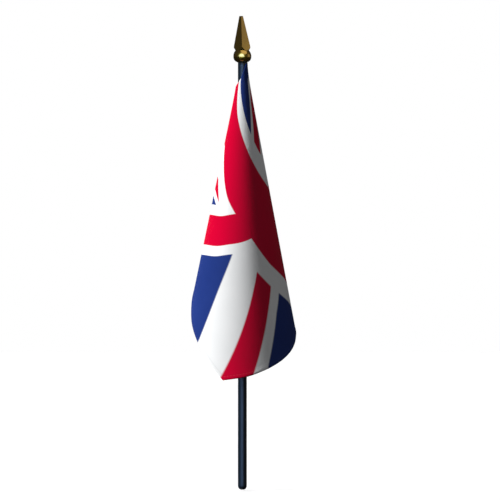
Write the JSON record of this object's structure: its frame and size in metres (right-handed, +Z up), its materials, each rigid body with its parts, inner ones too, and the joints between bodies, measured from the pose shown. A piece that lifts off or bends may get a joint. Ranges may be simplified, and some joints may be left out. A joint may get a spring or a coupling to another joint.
{
  "type": "desk flag",
  "caption": "Small desk flag: a slim glossy staff with a spear finial and a limp printed cloth flag wound round it and hanging in a cone.",
  "frame": {"origin": "centre of the staff's foot", "axes": "+Z up the staff towards the finial's tip, -Y towards the side the flag is seen from, +X to that viewer's right"},
  "size_m": [0.0563, 0.0607, 0.254],
  "materials": {
    "staff_plastic": "glossy blue-black",
    "gold_plastic": "metallised gold",
    "sleeve_cloth": "plain woven, sewn",
    "printed_cloth": "printed weave in red, white and blue"
  },
  "bodies": {
    "staff": {"staff": "staff_plastic", "spear_finial": "gold_plastic"},
    "flag": {"hoist_sleeve": "sleeve_cloth", "flag_cloth": "printed_cloth"}
  },
  "joints": [
    {"name": "flag_turn", "type": "hinge", "parent": "staff", "child": "flag", "pos_m": [0, 0, 0.17], "axis": [0, 0, 1], "continuous": true}
  ]
}
